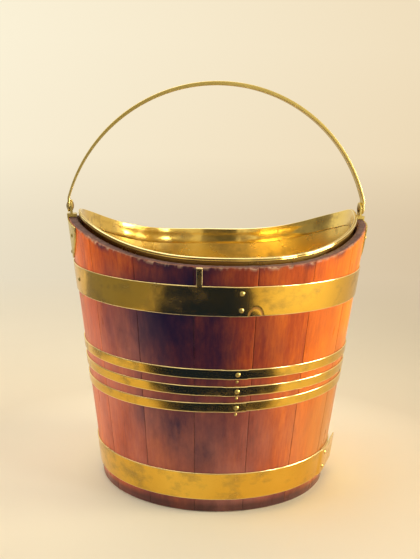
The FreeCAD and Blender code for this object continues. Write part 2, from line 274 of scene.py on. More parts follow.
# Staves: steps of the outline, and of the columns beside a seam and between two
FACE_STEPS = 22
FACE_SHARE = 0.95
OUTER_STEPS = [step / FACE_STEPS * FACE_SHARE for step in range(FACE_STEPS + 1)]
OUTER_STEPS += [0.962, 0.974, 0.984, 0.992, 1.0]
RIM_STEPS = 5
TOP_STEPS = 4
INNER_STEPS = 12
SEAM_COLUMNS = (0, 0.3 * MM, 0.8 * MM, 1.6 * MM)
STAVE_COLUMNS = 44
TONE_START = 3.1
TONE_STEP = 2.4

# Worn rim: places of wear as (angle, width, depth), and wear that is found everywhere
WORN_PLACES = ((-50, 15, 1.0), (-25, 12, 0.5), (14, 27, 0.95), (60, 20, 0.45), (110, 22, 0.4),
               (165, 40, 0.7), (-140, 30, 0.6), (-95, 16, 0.3))
LEAST_WEAR = 0.12

# Worn rim: noises as (detail, seed), chips with the noise's start and width too
TOP_NOISE = (30, 3.1)
DROP_NOISE = (9, 5.5)
CUT_NOISE = (13, 1.4)
GRIME_NOISE = (7, 6.3)
BROAD_CHIPS = (17, 7.7, 0.05, 0.14)
SMALL_CHIPS = (52, 2.2, 0.08, 0.12)
SMALL_SHARE = 0.6

# Worn rim, in millimetres: sinking of the top, then the edge's depth when unworn and worn, and what a noise,
# broad chips and small chips add to it
TOP_SINK = 0.35
TOP_WAVE = 0.3
DROP_DEPTHS = (0.7, 1.0, 0.8, 1.5, 0.4)
CUT_DEPTHS = (0.8, 1.5, 0.7, 2.3, 0.8)

# Outer face: planing marks, scuffs and grime under the rim
PLANED_DEPTH = 0.12 * MM
PLANED_TURN = 0.16
PLANED_RISE = 14
PLANED_TONE = 9
SCUFF_SHARE = 0.45
SCUFF_DEPTH = 1.2 * MM
GRIME_DEPTH = 9 * MM
GRIME_LEAST = 0.35
GRIME_WAVE = 1.2
GRIME_PATCH = 0.6
GRIME_PATCH_AT = (-20, 12)

# Worn edge and top: roughness, raw wood and handling dirt
EDGE_ROUGH = 0.35 * MM
EDGE_ROUGH_TURN = 0.9
EDGE_ROUGH_RISE = 3
EDGE_ROUGH_SEED = 4.2
RAW_LEAST = 0.35
RAW_REACH = 0.5
EDGE_STAIN = 0.25
EDGE_STAIN_RISE = 0.6
TOP_RAW = 0.6
TOP_STAIN = 1

# Inside and foot: the broken inner edge, and marks of dirt and wear
LIP_OUT = 0.9 * MM
LIP_MIDDLE_OUT = 0.25 * MM
LIP_MIDDLE_DOWN = 0.35 * MM
LIP_DOWN = 1.1 * MM
INSIDE_STAIN = 0.7
FOOT_STAIN = 0.8
FOOT_WORN = 0.2
FOOT_BEND = 0.35
FOOT_EDGE = 0.4


def rim_wear(angle):
    """How far the rim's outer edge is worn away at an angle, from 0 to 1."""
    wear = sum(depth * near(angle, middle, width) for middle, width, depth in WORN_PLACES)
    return min(1, LEAST_WEAR + wear)


def chipped(angle, detail, seed, start, width):
    """Where the rim is chipped, from 0 to 1."""
    return smooth((round_noise(angle, detail, seed) - start) / width)


def worn_depth(depths, wear, wave, broad, small):
    """Depth of the worn edge, from its wear, a noise and its broad and small chips."""
    unworn, worn, waved, by_broad, by_small = depths
    return (unworn + wear * (worn + waved * wave + by_broad * broad + by_small * small)) * MM


def worn_rim(angle):
    """Wear and chips of the rim, height of its top, and how far its edge lies under the top and is cut in."""
    wear = rim_wear(angle)
    broad = chipped(angle, *BROAD_CHIPS)
    small = chipped(angle, *SMALL_CHIPS)
    top = rim(angle) - (TOP_SINK + TOP_WAVE * round_noise(angle, *TOP_NOISE)) * MM
    drop = worn_depth(DROP_DEPTHS, wear, round_noise(angle, *DROP_NOISE), broad, small)
    cut = worn_depth(CUT_DEPTHS, wear, round_noise(angle, *CUT_NOISE), broad, small)
    return wear, max(broad, SMALL_SHARE * small), top, drop, cut


def stave_face(put, angle, tone, seam, edge, wear, chips):
    """Outer face, uneven from the plane, up to the worn edge."""
    grime = smooth(GRIME_LEAST + GRIME_WAVE * round_noise(angle, *GRIME_NOISE)
                   + GRIME_PATCH * near(angle, *GRIME_PATCH_AT))
    for share in OUTER_STEPS:
        height = lerp(FOOT_ROUND, edge, share)
        planed = PLANED_DEPTH * half_noise(angle * PLANED_TURN, height * PLANED_RISE, tone * PLANED_TONE)
        below = edge - height
        scuff = SCUFF_SHARE * wear * chips * max(0, 1 - below / SCUFF_DEPTH)
        dirt = grime * smooth(1 - below / GRIME_DEPTH)
        put(wall(height) - seam * SEAM_DEPTH - planed, height, scuff, dirt)


def stave_top(put, angle, wear, chips, top, drop, cut):
    """Worn edge, top of the rim and its broken inner edge."""
    edge = top - drop
    shoulder = wall(top) - cut
    for step in range(1, RIM_STEPS + 1):
        share = step / RIM_STEPS
        wave = noise.noise(Vector((angle * EDGE_ROUGH_TURN, share * EDGE_ROUGH_RISE, EDGE_ROUGH_SEED)))
        height = edge + drop * math.sin(share * math.pi / 2) + EDGE_ROUGH * wave * wear * (1 - share)
        raw = wear * lerp(RAW_LEAST, 1, chips) * max(0, 1 - share ** 2 / RAW_REACH)
        put(lerp(wall(edge), shoulder, share), height, raw, EDGE_STAIN + EDGE_STAIN_RISE * share)
    inner = wall(top) - WOOD_WALL
    for step in range(1, TOP_STEPS + 1):
        share = step / TOP_STEPS
        put(lerp(shoulder, inner + LIP_OUT, share), top, TOP_RAW * wear * chips * (1 - share), TOP_STAIN)
    put(inner + LIP_MIDDLE_OUT, top - LIP_MIDDLE_DOWN, 0, TOP_STAIN)


def stave_inside(put, top):
    """Inner face, the groove for the bottom board, and the foot."""
    for step in range(INNER_STEPS + 1):
        height = lerp(top - LIP_DOWN, BOARD_HIGH.z + BOARD_FIT, step / INNER_STEPS)
        put(wall(height) - WOOD_WALL, height, 0, INSIDE_STAIN)
    groove = BOARD_HIGH.x + BOARD_FIT
    put(groove, BOARD_HIGH.z + BOARD_FIT, 0, INSIDE_STAIN)
    put(groove, BOARD_LOW.z - BOARD_FIT, 0, INSIDE_STAIN)
    put(wall(BOARD_LOW.z) - WOOD_WALL, BOARD_LOW.z - BOARD_FIT, 0, INSIDE_STAIN)
    put(wall(FOOT_ROUND) - WOOD_WALL, FOOT_ROUND, 0, INSIDE_STAIN)
    put(wall(0) - WOOD_WALL + FOOT_ROUND, 0, FOOT_WORN, FOOT_STAIN)
    put(wall(0) - FOOT_ROUND, 0, FOOT_WORN, FOOT_STAIN)
    put(wall(0) - FOOT_ROUND * FOOT_BEND, FOOT_ROUND * FOOT_BEND, FOOT_EDGE, FOOT_EDGE)


def stave_outline(angle, gap, tone):
    """Outline of a stave in one upright plane; gap is the way to the nearest seam."""
    seam = max(0, 1 - gap / SEAM_WIDTH)
    outline = []

    def put(radius, height, worn, stain):
        marks = {"worn": worn, "seam": seam, "tone": tone, "stain": stain}
        outline.append((spot(radius, angle, height), marks))

    wear, chips, top, drop, cut = worn_rim(angle)
    stave_face(put, angle, tone, seam, top - drop, wear, chips)
    stave_top(put, angle, wear, chips, top, drop, cut)
    stave_inside(put, top)
    return outline


def build_staves(materials):
    """Staves with polished outer faces; the rim, the inside and the foot take the second material."""
    width = 360 / STAVE_COUNT - SEAM_ANGLE
    per_degree = math.radians(1) * wall(RIM_CREST)
    beside = [gap / per_degree for gap in SEAM_COLUMNS]
    columns = beside + [lerp(beside[-1], width - beside[-1], step / STAVE_COLUMNS)
                        for step in range(1, STAVE_COLUMNS)]
    columns += [width - column for column in reversed(beside)]
    for index in range(STAVE_COUNT):
        start = FIRST_SEAM + SEAM_ANGLE / 2 + index * 360 / STAVE_COUNT
        tone = 0.5 + 0.5 * math.sin(index * TONE_STEP + TONE_START)
        rings = [stave_outline(start + column, min(column, width - column) * per_degree, tone)
                 for column in columns]
        dry = range(len(OUTER_STEPS), len(rings[0]) - 1)
        name = "stave_%02d" % (index + 1)
        stave = loft(name + "_wood", rings, second=dry)
        dress(stave, "bucket", "mahogany", materials, name)


# Hoops: steps along the strip, stops beside the tongue, the crack and the lap, and scales of the dents
HOOP_STEPS = 288
LOOSE_STEPS = 10
FACE_STEP = 1.4 * MM
TONGUE_HALF = math.degrees(TONGUE_WIDTH / 2 / wall(RIM_CREST - RIM_DIP_FRONT))
TONGUE_EDGE = 0.32
TONGUE_STEP = 0.05
TONGUE_STOPS = (-TONGUE_EDGE, -0.2, -0.1, -0.04, 0, TONGUE_STEP, 0.3)
STOP_STEP = 0.3
CRACK_STOPS = range(-12, 13)
LAP_STOPS = range(1, 8)
ROUNDED_BACK = 0.05 * MM
DENT_TURN = 0.09
DENT_RISE = 26
DENT_SEED = 50


def hoop_path(lap, stops, loose):
    """Way round the wall and a lap further, as (angle, lift off the wall, way along the tangent).

    The outer end lies on the inner one, and a loose end runs on straight.
    """
    sweep = 360 + 2 * HALF_LAP
    travel = sorted(set([sweep * step / HOOP_STEPS for step in range(HOOP_STEPS + 1)] + stops))
    path = []
    for gone in travel:
        lift = HOOP_FIT + HOOP_THICKNESS * smooth((gone - 360 + LAP_RAMP) / LAP_RAMP)
        path.append((lap + gone - HALF_LAP, lift, 0))
    if loose:
        angle, lift = path[-1][:2]
        path += [(angle, lift, loose * step / LOOSE_STEPS) for step in range(1, LOOSE_STEPS + 1)]
    return path


def hoop_ring(step, outline, low, slope, crown, crack):
    """Outline of a hoop's strip at one step of its path."""
    angle, lift, along = step
    radial = spot(1, angle, 0)
    ahead = spot(1, angle + 90, 0)
    rise, inset = crown(angle)
    level = low + slope * wall(low) * math.sin(math.radians(angle))
    ring = []
    for out, up, edge, share in outline:
        place = level + up + rise * share
        dent = HOOP_DENT * half_noise(angle * DENT_TURN, place * DENT_RISE, low * DENT_SEED)
        split = crack(angle, up)
        depth = out * (1 - dent / HOOP_THICKNESS - CRACK_DEPTH * split)
        if share and out > inset:
            depth = min(depth, HOOP_THICKNESS - inset)
        point = radial * (wall(place) + lift + depth) + ahead * along
        point.z = place
        side = EDGE_FULL if share and inset > ROUNDED_BACK else 0
        ring.append((point, {"edge": max(edge, side), "stain": split}))
    return ring


def flat_top(angle):
    """A hoop with no tongue: no rise, and no rounding back."""
    return 0, 0


def no_crack(angle, up):
    """A hoop with no crack."""
    return 0


def tongue_top(angle):
    """Rise of the narrow tongue over the top hoop, and how far its face is rounded back at its sides."""
    off = abs(away(angle, TONGUE_ANGLE))
    height = TOP_HOOP_HIGH.z - TOP_HOOP_TOP
    rise = height * smooth((TONGUE_HALF + TONGUE_STEP - off) / TONGUE_STEP)
    share = min(1, max(0, (off - TONGUE_HALF + TONGUE_EDGE) / TONGUE_EDGE))
    return rise, HOOP_ROUND * (1 - math.sqrt(1 - share * share)) if rise else 0


def crack_line(angle, up):
    """Arched crack at the top hoop's lower edge beside its lap, from 0 to 1."""
    across = math.radians(away(angle, CRACK_ANGLE)) * wall(TOP_HOOP_TOP - WIDE_HOOP)
    reach = math.hypot(across, up * CRACK_FLATNESS)
    return math.exp(-((reach - CRACK_RADIUS) / CRACK_WIDTH) ** 2)


def top_hoop_stops():
    """Steps of the top hoop's path that its tongue, its crack and its outer end need."""
    start = HALF_LAP - FRONT_LAP
    stops = [TONGUE_ANGLE + start + 360 + side * (TONGUE_HALF + step)
             for side in (-1, 1) for step in TONGUE_STOPS]
    stops += [CRACK_ANGLE + start + step * STOP_STEP for step in CRACK_STOPS]
    stops += [360 + 2 * HALF_LAP - step * STOP_STEP for step in LAP_STOPS]
    return stops


def build_hoop(name, height, low, lap, material, slope=0, crown=flat_top, crack=no_crack, stops=(), loose=0):
    """One hoop, from its lower edge up."""
    outline = strip_outline(height, HOOP_THICKNESS, HOOP_ROUND, round(height / FACE_STEP))
    path = hoop_path(lap, list(stops), loose)
    rings = [hoop_ring(step, outline, low, slope, crown, crack) for step in path]
    dress(loft(name + "_strip", rings), "bucket", "hoop_brass", [material], name)


def build_hoops(material):
    """Wide top and bottom hoops and the three narrow ones."""
    build_hoop("top_hoop", WIDE_HOOP, TOP_HOOP_TOP - WIDE_HOOP, FRONT_LAP, material,
               crown=tongue_top, crack=crack_line, stops=top_hoop_stops())
    for which, tilt in NARROW_TILTS:
        name = "narrow_hoop_" + which
        low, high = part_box(name)
        middle = (low.z + high.z) / 2
        build_hoop(name, NARROW_HOOP, middle - NARROW_HOOP / 2, FRONT_LAP, material,
                   slope=math.tan(math.radians(tilt)))
    build_hoop("bottom_hoop", WIDE_HOOP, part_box("bottom_hoop")[0].z, SIDE_LAP, material, loose=LOOSE_END)


# Liner: steps, waves of the hand-made sheet, and the sag of its base
LINER_STEPS = 288
LINER_ANGLES = [360 * step / LINER_STEPS for step in range(LINER_STEPS)]
BASE_ANGLES = LINER_ANGLES[::3]
SHEET_STEPS = 20
BAND_STEPS = 6
GROOVE_WIDTH = 0.2
SHEET_WAVE = 0.22 * MM
SHEET_WAVE_TURN = 2.6
SHEET_WAVE_RISE = 16
SHEET_FADE = 30 * MM
SHEET_UNDER_RIM = 0.1 * MM
BASE_SHARES = (0.02, 0.1, 0.2, 0.3, 0.4, 0.5, 0.6, 0.7, 0.8, 0.9, 0.97, 1.0)
BASE_SAG = 0.25 * MM
BASE_WAVE = 0.1 * MM
BASE_WAVE_TURN = 3
BASE_WAVE_OUT = 40


def sheet_wave(angle, height):
    """Hand-made unevenness of the liner's sheet."""
    return SHEET_WAVE * round_noise(angle, SHEET_WAVE_TURN, height * SHEET_WAVE_RISE)


def liner_wall_outline(angle):
    """Outline of the liner's sheet, up its outside and down its inside, even where the bands lie on it."""
    top = liner_rim(angle) - SHEET_UNDER_RIM
    outline = []
    for step in range(SHEET_STEPS + 1):
        height = lerp(LINER_FOOT, top, step / SHEET_STEPS)
        wave = sheet_wave(angle, height) * (1 - step / SHEET_STEPS)
        outline.append((spot(wall(height) + LINER_OUT + wave, angle, height), {}))
    for step in range(SHEET_STEPS + 1):
        height = lerp(top, LINER_FOOT, step / SHEET_STEPS)
        wave = sheet_wave(angle, height) * smooth((top - height) / SHEET_FADE)
        outline.append((spot(wall(height) + LINER_IN + wave, angle, height), {}))
    return outline


def band_outline(angle, height, offset, thickness, rounding, groove, outward):
    """Outline of a band under the liner's rim, its plain face against the sheet and a groove in the other."""
    low = liner_rim(angle) - height
    outline = []
    for out, up, edge, _ in strip_outline(height, thickness, rounding, BAND_STEPS):
        middle = abs(up / height - 0.5)
        dip = groove * smooth(1 - middle / GROOVE_WIDTH) if out == thickness else 0
        place = low + up
        radius = wall(place) + offset + (out - dip) * outward
        outline.append((spot(radius, angle, place), {"edge": edge}))
    return outline


def build_band(name, material, node, *shape):
    """A band round the liner, of the shape that band_outline takes."""
    rings = [band_outline(angle, *shape) for angle in LINER_ANGLES]
    dress(loft(name, rings, wrap=True), "liner", "liner_brass", [material], node)


def build_liner_base(material):
    """Disc that sags a little and is not quite flat on top."""
    low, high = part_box("liner_base")
    radii = [high.x * share for share in BASE_SHARES]
    rings = []
    for radius in radii:
        level = high.z - BASE_SAG * (1 - smooth(radius / high.x))
        ring = []
        for angle in BASE_ANGLES:
            wave = BASE_WAVE * (1 + round_noise(angle, BASE_WAVE_TURN, radius * BASE_WAVE_OUT))
            ring.append((spot(radius, angle, level - wave), {}))
        rings.append(ring)
    for radius in reversed(radii):
        rings.append([(spot(radius, angle, low.z), {}) for angle in BASE_ANGLES])
    dress(loft("liner_base_sheet", rings), "liner", "liner_brass", [material], "liner_base")


def build_liner(sheet_brass, collar_brass):
    """Sheet wall, hemmed rim, inner collar and base."""
    rings = [liner_wall_outline(angle) for angle in LINER_ANGLES]
    dress(loft("liner_wall_sheet", rings, wrap=True), "liner", "liner_brass", [sheet_brass], "liner_wall")
    build_band("liner_rim_hem", collar_brass, "liner_rim",
               HEM_HEIGHT, LINER_OUT + SOLDER_GAP, HEM_THICKNESS, HEM_ROUND, HEM_GROOVE, 1)
    build_band("liner_collar_band", collar_brass, "liner_collar",
               COLLAR_HEIGHT, LINER_IN - SOLDER_GAP, COLLAR_THICKNESS, COLLAR_ROUND, COLLAR_GROOVE, -1)
    build_liner_base(sheet_brass)


# Bail: steps along its round foot, in halves of its width, and along half its arch
PAD_SHARES = (0.012, 0.04, 0.1, 0.2, 0.35, 0.55, 0.8, 1.0, 1.4, 1.8, 2.2)
ARCH_STEPS = 64
CORNER_STEPS = 4
NARROWEST_ROUND = 0.8
BAIL_EDGE = 0.5
BORE_SIDES = 48
BAIL_FOOT = BAIL_WIDTH / 2


def arch(rise, reach):
    """Radius, and height of the centre, of an arc over both pads."""
    radius = (rise ** 2 + reach ** 2) / (2 * rise)
    return radius, PIVOT_Z + BAIL_PAD + rise - radius


def bail_line():
    """Line of the bail from its right foot over to the left one, as (point, outward direction, thickness)."""
    pad_top = PIVOT_Z + BAIL_PAD
    rise = BAIL_HIGH.z - pad_top
    outer, centre = arch(rise, PAD_OUT)
    inner, inner_centre = arch(rise - BAIL_CROWN, PAD_OUT - BAIL_THICKNESS)
    shift = centre - inner_centre
    start = math.asin((pad_top - centre) / outer)
    right = []
    for share in PAD_SHARES:
        place = Vector((PAD_OUT - BAIL_THICKNESS / 2, 0, PIVOT_Z - BAIL_FOOT + BAIL_FOOT * share))
        right.append((place, Vector((1, 0, 0)), BAIL_THICKNESS))
    for step in range(ARCH_STEPS + 1):
        turn = start + (math.pi / 2 - start) * step / ARCH_STEPS
        outwards = Vector((math.cos(turn), 0, math.sin(turn)))
        reach = math.sqrt(inner ** 2 - (shift * outwards.x) ** 2) - shift * outwards.z
        right.append((outwards * (outer + reach) / 2 + Vector((0, 0, centre)), outwards, outer - reach))
    left = [(Vector((-p.x, 0, p.z)), Vector((-d.x, 0, d.z)), t) for p, d, t in reversed(right[:-1])]
    return right + left


def bail_ring(point, outwards, half_width, half):
    """Rounded outline of the strip across its line."""
    rounding = min(BAIL_ROUND, half_width * NARROWEST_ROUND)
    ring = []
    for quarter in range(4):
        across_sign = 1 if quarter in (0, 3) else -1
        out_sign = 1 if quarter in (0, 1) else -1
        for step in range(CORNER_STEPS + 1):
            turn = math.radians(90 * quarter + 90 / CORNER_STEPS * step)
            across = across_sign * (half_width - rounding) + rounding * math.cos(turn)
            out = out_sign * (half - rounding) + rounding * math.sin(turn)
            edge = BAIL_EDGE if 0 < step < CORNER_STEPS else 0
            ring.append((point + outwards * out + Vector((0, across, 0)), {"edge": edge}))
    return ring


def bored(strip):
    """Mesh of the bail with the bore for its two pivots."""
    bore = bmesh.new()
    radius = PIN_RADIUS + PIN_FIT
    along_x = Matrix.Translation((0, 0, PIVOT_Z)) @ Matrix.Rotation(math.pi / 2, 4, "Y")
    bmesh.ops.create_cone(bore, cap_ends=True, segments=BORE_SIDES, radius1=radius, radius2=radius,
                          depth=3 * PAD_OUT, matrix=along_x)
    tool = new_object(bore, "bail_bore")
    cutter = strip.modifiers.new("bore", "BOOLEAN")
    cutter.operation = "DIFFERENCE"
    cutter.object = tool
    graph = bpy.context.evaluated_depsgraph_get()
    mesh = bpy.data.meshes.new_from_object(strip.evaluated_get(graph))
    strip.modifiers.clear()
    bpy.data.objects.remove(tool)
    return mesh


def build_bail(material):
    """Flat strip with round feet, arched over from ear to ear."""
    rings = []
    for point, outwards, thickness in bail_line():
        up = point.z - (PIVOT_Z - BAIL_FOOT)
        half_width = BAIL_FOOT
        if up < BAIL_FOOT:
            half_width = math.sqrt(max(0, BAIL_FOOT ** 2 - (BAIL_FOOT - up) ** 2))
        rings.append(bail_ring(point, outwards, half_width, thickness / 2))
    strip = loft("bail_strip", rings)
    strip.data = bored(strip)
    dress(strip, "bail", "handle_brass", [material], "bail")


# Materials; a patch is even out to a share of its reach
PATCH_CORE = 0.25


class Shader:
    """Short ways to add and join the nodes of a material or of the world."""

    def __init__(self, owner):
        owner.use_nodes = True
        self.owner = owner
        self.tree = owner.node_tree
        self.surface = self.tree.nodes.get("Principled BSDF")

    def node(self, kind, **settings):
        """A new node with some settings."""
        made = self.tree.nodes.new(kind)
        for key, value in settings.items():
            setattr(made, key, value)
        return made

    def link(self, source, target):
        """Joins an output to an input."""
        self.tree.links.new(source, target)

    def feed(self, socket, value):
        """A number or colour is set on the socket itself, and an output is linked to it."""
        if isinstance(value, bpy.types.NodeSocket):
            self.link(value, socket)
        else:
            socket.default_value = value

    def set(self, name, value):
        """Feeds one of the surface's own sockets."""
        self.feed(self.surface.inputs[name], value)

    def place(self, stretch=(1, 1, 1), shift=None):
        """Position in the part's own frame, moved by a mark and stretched."""
        vector = self.node("ShaderNodeTexCoord").outputs["Object"]
        if shift is not None:
            add = self.node("ShaderNodeVectorMath", operation="ADD")
            self.link(vector, add.inputs[0])
            self.link(shift, add.inputs[1])
            vector = add.outputs[0]
        scale = self.node("ShaderNodeVectorMath", operation="MULTIPLY")
        self.link(vector, scale.inputs[0])
        scale.inputs[1].default_value = stretch
        return scale.outputs[0]

    def axes(self):
        """X, Y and Z of the position."""
        parts = self.node("ShaderNodeSeparateXYZ")
        self.link(self.place(), parts.inputs[0])
        return parts.outputs

    def grain(self, vector, scale, detail=4.0, roughness=0.55):
        """Noise at a position, from 0 to 1."""
        made = self.node("ShaderNodeTexNoise")
        self.link(vector, made.inputs["Vector"])
        made.inputs["Scale"].default_value = scale
        made.inputs["Detail"].default_value = detail
        made.inputs["Roughness"].default_value = roughness
        return made.outputs["Fac"]

    def mark(self, name):
        """A mark that the mesh keeps at its vertices."""
        return self.node("ShaderNodeAttribute", attribute_name=name).outputs["Fac"]

    def ramp(self, factor, stops):
        """Colour by a factor, from stops of (position, colour)."""
        made = self.node("ShaderNodeValToRGB")
        elements = made.color_ramp.elements
        while len(elements) < len(stops):
            elements.new(0.5)
        for element, (position, colour) in zip(elements, stops):
            element.position = position
            element.color = (*colour, 1)
        self.link(factor, made.inputs["Fac"])
        return made.outputs["Color"]

    def spread(self, factor, low, high, to_low=0.0, to_high=1.0):
        """Maps low..high to to_low..to_high, held at both ends."""
        made = self.node("ShaderNodeMapRange")
        self.link(factor, made.inputs["Value"])
        for socket, value in zip(("From Min", "From Max", "To Min", "To Max"), (low, high, to_low, to_high)):
            made.inputs[socket].default_value = value
        return made.outputs["Result"]

    def maths(self, operation, first, second):
        """A product of two factors, or their sum or the greater one held from 0 to 1."""
        made = self.node("ShaderNodeMath", operation=operation, use_clamp=operation != "MULTIPLY")
        self.feed(made.inputs[0], first)
        self.feed(made.inputs[1], second)
        return made.outputs[0]

    def weigh(self, first, first_share, second, second_share):
        """Sum of two factors by their shares."""
        return self.maths("ADD", self.maths("MULTIPLY", first, first_share),
                          self.maths("MULTIPLY", second, second_share))

    def mix(self, factor, first, second):
        """Colour between two colours."""
        made = self.node("ShaderNodeMix", data_type="RGBA")
        self.feed(made.inputs["Factor"], factor)
        for socket, colour in ((made.inputs["A"], first), (made.inputs["B"], second)):
            self.feed(socket, colour if isinstance(colour, bpy.types.NodeSocket) else (*colour, 1))
        return made.outputs["Result"]

    def bump(self, height, distance, strength):
        """Small relief of the surface."""
        made = self.node("ShaderNodeBump")
        made.inputs["Distance"].default_value = distance
        made.inputs["Strength"].default_value = strength
        self.link(height, made.inputs["Height"])
        self.set("Normal", made.outputs["Normal"])

    def around(self, point, radius):
        """1 near a point of the part's frame, falling to 0 at a radius."""
        made = self.node("ShaderNodeVectorMath", operation="DISTANCE")
        self.link(self.place(), made.inputs[0])
        made.inputs[1].default_value = point
        return self.spread(made.outputs["Value"], radius, radius * PATCH_CORE)

    def seen(self):
        """1 for what the camera sees, straight or mirrored."""
        rays = self.node("ShaderNodeLightPath")
        return self.maths("MAXIMUM", rays.outputs["Is Camera Ray"], rays.outputs["Is Glossy Ray"])

    def end(self, factor, first, second):
        """Ends in two shaders, mixed by a factor."""
        blend = self.node("ShaderNodeMixShader")
        for socket, source in zip(blend.inputs, (factor, first.outputs[0], second.outputs[0])):
            self.link(source, socket)
        self.link(blend.outputs[0], self.tree.get_output_node("ALL").inputs["Surface"])


def new_material(name):
    """Shader of a new material."""
    return Shader(bpy.data.materials.new(name))


# Wood: colours of the grain, of wear and dirt, and of the patches on the polished faces
WOOD_DARK = (0.130, 0.024, 0.008)
WOOD_MID = (0.440, 0.072, 0.012)
WOOD_LIGHT = (0.760, 0.175, 0.014)
WOOD_RAW = (0.54, 0.36, 0.24)
WOOD_GRIME = (0.070, 0.040, 0.044)
WOOD_STAIN = (0.013, 0.009, 0.036)
# Painted light: a bright orange and a warm tan for the right side, where the key lamp falls
WOOD_PAINTED_LIGHT = (0.860, 0.270, 0.008)
WOOD_PAINTED_WARM_LIGHT = (0.36, 0.165, 0.042)
# Bloom on old polish at the front, and a painted reflection of pale light on the left
WOOD_BLOOM_AND_REFLECTION = (0.42, 0.19, 0.17)
FOOT_DARK = (0.075, 0.035, 0.032)
FOOT_HEIGHT = 15 * MM
FOOT_STRENGTH = 0.85
SEAM_DARK = (0.016, 0.007, 0.006)

# Patches as (angle, height, reach): dark stains, painted light in two tones on the lit right side, and bloom
# on the polish at the front with a painted reflection of pale light at the left
STAIN_SPOTS = ((-16, 0.21, 0.13), (-31, 0.218, 0.085), (-21, 0.215, 0.09), (-16, 0.27, 0.06),
               (-24, 0.215, 0.07), (-34, 0.112, 0.035), (-14, 0.09, 0.10), (-30, 0.0, 0.06),
               (0, 0.0, 0.06), (34, 0.0, 0.06))
# Painted light on the right side, first in the bright orange and then in the warm tan
RIGHT_LIGHT_SPOTS = ((70, 0.21, 0.12), (72, 0.28, 0.11))
RIGHT_WARM_LIGHT_SPOTS = ((58, 0.09, 0.12), (74, 0.07, 0.10))
# The first two are bloom at the lower front; the last two are a painted reflection on the left
BLOOM_AND_REFLECTION_SPOTS = ((4, 0.075, 0.105), (4, 0.0, 0.065), (-62, 0.18, 0.11), (-52, 0.085, 0.12))

# Each kind of patch: colour, what its strength is between two values of a noise, and places
PATCHES = ((WOOD_STAIN, (0.1, 0.7, 0, 1), STAIN_SPOTS),
           (WOOD_PAINTED_LIGHT, (0.7, 0.3, 0.1, 0.6), RIGHT_LIGHT_SPOTS),
           (WOOD_PAINTED_WARM_LIGHT, (0.7, 0.3, 0.35, 0.8), RIGHT_WARM_LIGHT_SPOTS),
           (WOOD_BLOOM_AND_REFLECTION, (0.7, 0.35, 0.15, 0.45), BLOOM_AND_REFLECTION_SPOTS))

# Noises as (scale, detail, roughness), and their stretch along the grain
BROAD_GRAIN = (42, 6, 0.6)
FINE_GRAIN = (380, 5, 0.65)
PORES = (1500, 2, 0.5)
CLOUDS = (14, 6, 0.68)
SOFT = (24, 6, 0.66)
RAGGED = (140, 5, 0.65)
DULL = (60, 4, 0.6)
DRY_DIRT = (120, 6, 0.7)
GRAIN_STRETCH = (1, 1, 0.06)
PORE_STRETCH = (1, 1, 0.035)
CLOUD_STRETCH = (1, 1, 0.4)
SOFT_STRETCH = (1, 1, 0.45)
RAGGED_STRETCH = (1, 1, 0.6)
DULL_STRETCH = (1, 1, 0.3)
GRAIN_STOPS = ((0.25, WOOD_DARK), (0.47, WOOD_MID), (0.70, WOOD_LIGHT))
TONE_STRENGTH = 0.18
PORE_DEPTH = 0.12 * MM
DRY_DEPTH = 0.6 * MM


def wood_figure(shader):
    """Long grain along the staves: its colour, fine grain and pores."""
    tone = shader.mark("tone")
    along = shader.place(GRAIN_STRETCH, tone)
    broad = shader.grain(along, *BROAD_GRAIN)
    fine = shader.grain(along, *FINE_GRAIN)
    pores = shader.grain(shader.place(PORE_STRETCH, tone), *PORES)
    colour = shader.ramp(shader.weigh(broad, 0.62, fine, 0.38), GRAIN_STOPS)
    colour = shader.mix(shader.spread(pores, 0.60, 0.72, 0, 0.35), colour, WOOD_DARK)
    return colour, fine, pores


def wood_patches(shader, colour, soft):
    """Stains, painted light on the right side, and bloom with a painted reflection at the left, broken up by
    a soft noise.
    """
    for paint, strength, places in PATCHES:
        broken = shader.spread(soft, *strength)
        for angle, height, reach in places:
            middle = spot(wall(height), angle, height)
            colour = shader.mix(shader.maths("MULTIPLY", shader.around(middle, reach), broken), colour, paint)
    return colour


def wood_dirt(shader, colour, soft):
    """Grime under the rim and a dark band at the foot."""
    grime = shader.maths("MULTIPLY", shader.mark("stain"), shader.spread(soft, 0.25, 0.6, 0.2, 0.95))
    colour = shader.mix(grime, colour, WOOD_STAIN)
    foot = shader.spread(shader.axes()["Z"], FOOT_HEIGHT, 0.5 * FOOT_HEIGHT, 0, FOOT_STRENGTH)
    return shader.mix(shader.maths("MULTIPLY", foot, shader.spread(soft, 0.1, 0.5)), colour, FOOT_DARK)


